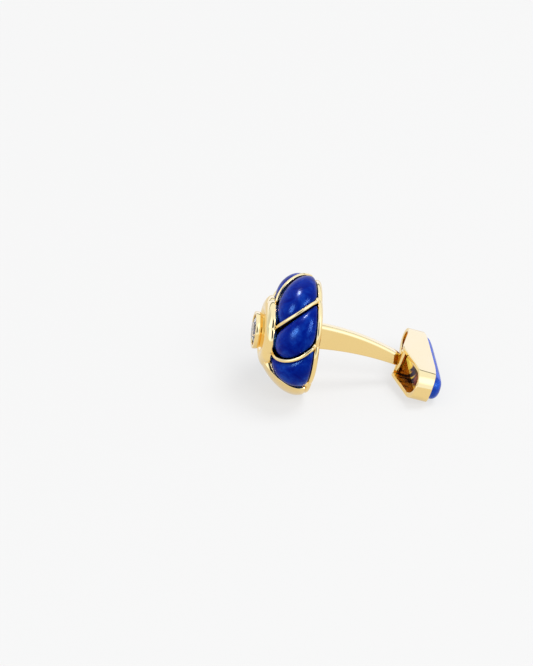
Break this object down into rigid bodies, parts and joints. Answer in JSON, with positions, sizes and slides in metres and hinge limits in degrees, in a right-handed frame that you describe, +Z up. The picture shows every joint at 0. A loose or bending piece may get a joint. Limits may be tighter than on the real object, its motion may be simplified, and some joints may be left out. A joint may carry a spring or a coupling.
{
  "type": "cufflink",
  "caption": "Round cufflink: a twisted shell head of blue stone lobes and gold wires round a diamond, on a plate with an arched post and a swivelling bar toggle.",
  "frame": {"origin": "on the surface the cufflink lies on, under the middle of its bounding box", "axes": "+X from the head to the toggle, level; +Z up from the surface; +Y to the left when looking along +X. The head's axis falls 9.57 degrees towards the toggle."},
  "size_m": [0.0292, 0.0192, 0.0189],
  "materials": {
    "gold": "polished 18 carat gold",
    "lapis": "polished lapis lazuli",
    "diamond": "cut and polished diamond"
  },
  "bodies": {
    "head": {"plate_and_post": "gold", "shell_frame": "gold", "gold_lobe": "gold", "lapis_1": "lapis", "lapis_2": "lapis", "lapis_3": "lapis", "lapis_4": "lapis", "lapis_5": "lapis", "lapis_6": "lapis", "wire_1": "gold", "wire_2": "gold", "wire_3": "gold", "wire_4": "gold", "wire_5": "gold", "diamond": "diamond"},
    "toggle": {"toggle_frame": "gold", "toggle_stone": "lapis", "hinge_pin": "gold"}
  },
  "joints": [
    {"name": "toggle_swivel", "type": "hinge", "parent": "head", "child": "toggle", "pos_m": [0.009, -0.00004, 0.00375], "axis": [0.33, 0, 0.944], "range_deg": [-90, 90]}
  ]
}
